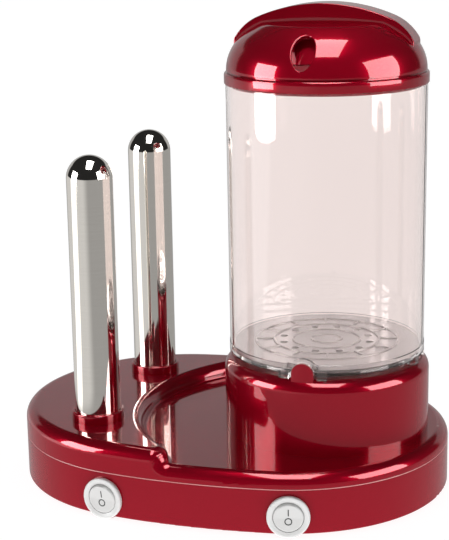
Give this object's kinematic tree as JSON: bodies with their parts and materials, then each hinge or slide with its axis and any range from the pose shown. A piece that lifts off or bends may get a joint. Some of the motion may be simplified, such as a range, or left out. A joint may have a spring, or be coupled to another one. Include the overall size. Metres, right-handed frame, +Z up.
{
  "type": "hot dog and egg cooker",
  "caption": "Countertop cooker with upright heated spikes beside a clear steaming tank on a round boiler collar, a domed lid with grip bar and steam vent, and rocker switches.",
  "frame": {"origin": "on the table under the middle of the base", "axes": "+Z up, -Y towards the front with the switches, +X towards the boiler"},
  "size_m": [0.247, 0.1861, 0.2725],
  "materials": {
    "red_plastic": "gloss",
    "clear_plastic": "clear",
    "polished_steel": "polished",
    "plain_steel": "satin",
    "white_plastic": "semi-gloss",
    "brass": "satin",
    "black_rubber": "matt",
    "black_plastic": "matt",
    "pale_silicone": "matt",
    "pale_ceramic": "matt"
  },
  "bodies": {
    "base": {"base_tray": "red_plastic", "base_cover": "red_plastic", "feet": "black_rubber", "base_screws": "plain_steel", "boiler_collar": "red_plastic", "collar_screws": "plain_steel", "boiler_pan": "polished_steel", "pan_seal": "pale_silicone", "heating_element": "plain_steel", "element_strap": "plain_steel", "strap_screws": "plain_steel", "thermostat": "black_plastic", "thermal_fuse": "pale_ceramic", "spike_front": "polished_steel", "spike_back": "polished_steel", "spike_ring_front": "red_plastic", "spike_ring_back": "red_plastic", "spike_heater_front": "pale_ceramic", "spike_heater_back": "pale_ceramic", "spike_bracket": "plain_steel", "bracket_screws": "plain_steel", "switch_left_housing": "white_plastic", "switch_left_terminals": "brass", "switch_right_housing": "white_plastic", "switch_right_terminals": "brass", "cord_gland": "black_rubber", "terminal_block": "white_plastic", "wire_left_switch": "black_plastic", "wire_right_switch": "black_plastic", "wire_boiler": "pale_silicone", "wire_spikes": "pale_silicone"},
    "tank": {"tank": "clear_plastic", "steam_plate": "clear_plastic"},
    "lid": {"lid_band": "red_plastic", "lid_dome": "red_plastic", "lid_handle": "red_plastic", "vent_baffle": "red_plastic", "handle_screws": "plain_steel"},
    "left_rocker": {"switch_left_rocker": "white_plastic"},
    "right_rocker": {"switch_right_rocker": "white_plastic"},
    "left_contact": {"switch_left_contact": "brass"},
    "right_contact": {"switch_right_contact": "brass"}
  },
  "joints": [
    {"name": "tank_lift", "type": "slide", "parent": "base", "child": "tank", "axis": [0, 0, 1], "range_m": [0, 0.12]},
    {"name": "lid_lift", "type": "slide", "parent": "tank", "child": "lid", "axis": [0, 0, 1], "range_m": [0, 0.08]},
    {"name": "left_rocker", "type": "hinge", "parent": "base", "child": "left_rocker", "pos_m": [-0.04696, -0.08798, 0.0129], "axis": [-0.9885, 0.1513, 0], "range_deg": [0, 10]},
    {"name": "right_rocker", "type": "hinge", "parent": "base", "child": "right_rocker", "pos_m": [0.05578, -0.08617, 0.0129], "axis": [-0.9681, -0.2504, 0], "range_deg": [0, 10]},
    {"name": "left_contact", "type": "hinge", "parent": "base", "child": "left_contact", "pos_m": [-0.04571, -0.07977, 0.0129], "axis": [0.9885, -0.1513, 0], "range_deg": [0, 16]},
    {"name": "right_contact", "type": "hinge", "parent": "base", "child": "right_contact", "pos_m": [0.05371, -0.07813, 0.0129], "axis": [0.9681, 0.2504, 0], "range_deg": [0, 16]}
  ],
  "couplings": [
    {"joint": "left_contact", "follows": "left_rocker", "ratio": 1.6},
    {"joint": "right_contact", "follows": "right_rocker", "ratio": 1.6}
  ]
}
